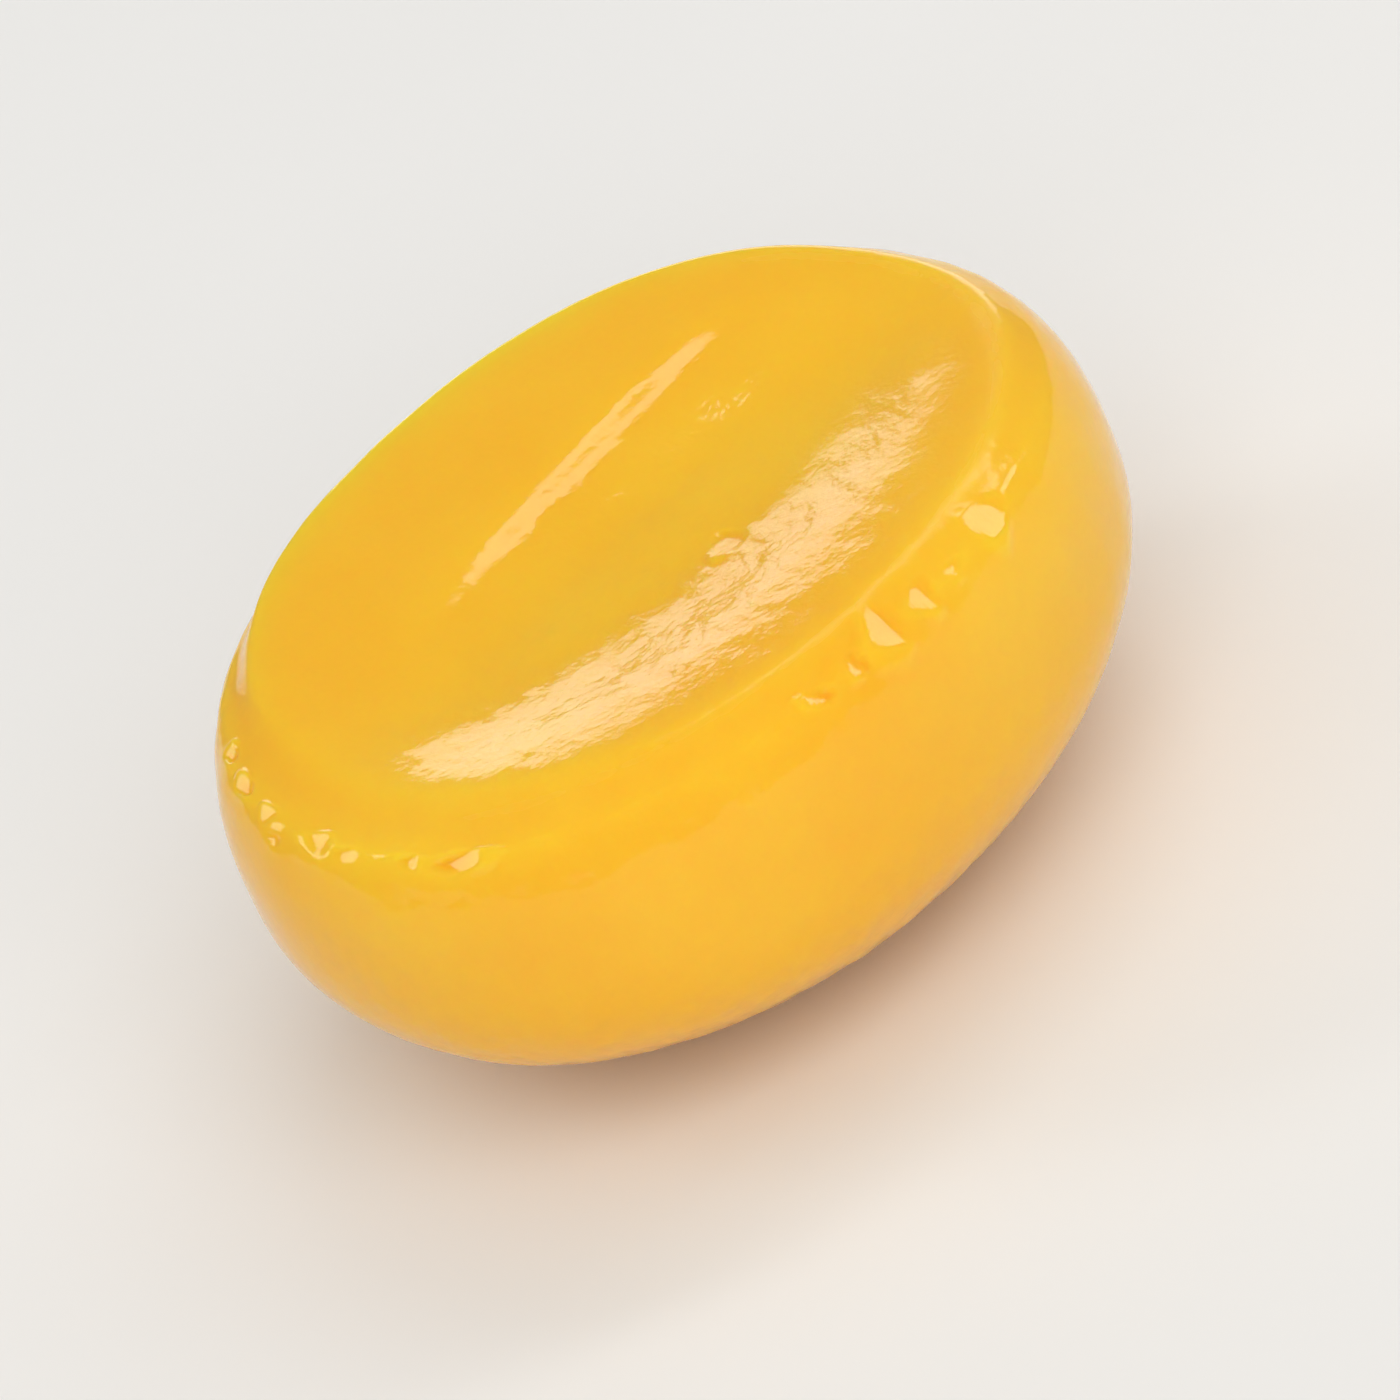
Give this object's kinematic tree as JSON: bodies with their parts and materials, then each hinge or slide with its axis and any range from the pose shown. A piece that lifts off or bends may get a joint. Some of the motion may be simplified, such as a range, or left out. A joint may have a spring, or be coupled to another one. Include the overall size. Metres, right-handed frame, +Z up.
{
  "type": "butterscotch candy",
  "caption": "Unwrapped oval butterscotch boiled sweet, one solid piece with a deep rounded underside, a mould line and a soft dimple in its raised top face.",
  "frame": {"origin": "middle of the small flat rest spot under the sweet, on the surface that it lies on", "axes": "+X along the sweet's long axis, +Y across its width, +Z up out of the dimpled top face"},
  "size_m": [0.0254, 0.0204, 0.0113],
  "materials": {
    "sugar": "glossy, slightly cloudy, translucent golden boiled sugar"
  },
  "bodies": {
    "root": {"candy": "sugar"}
  },
  "joints": []
}
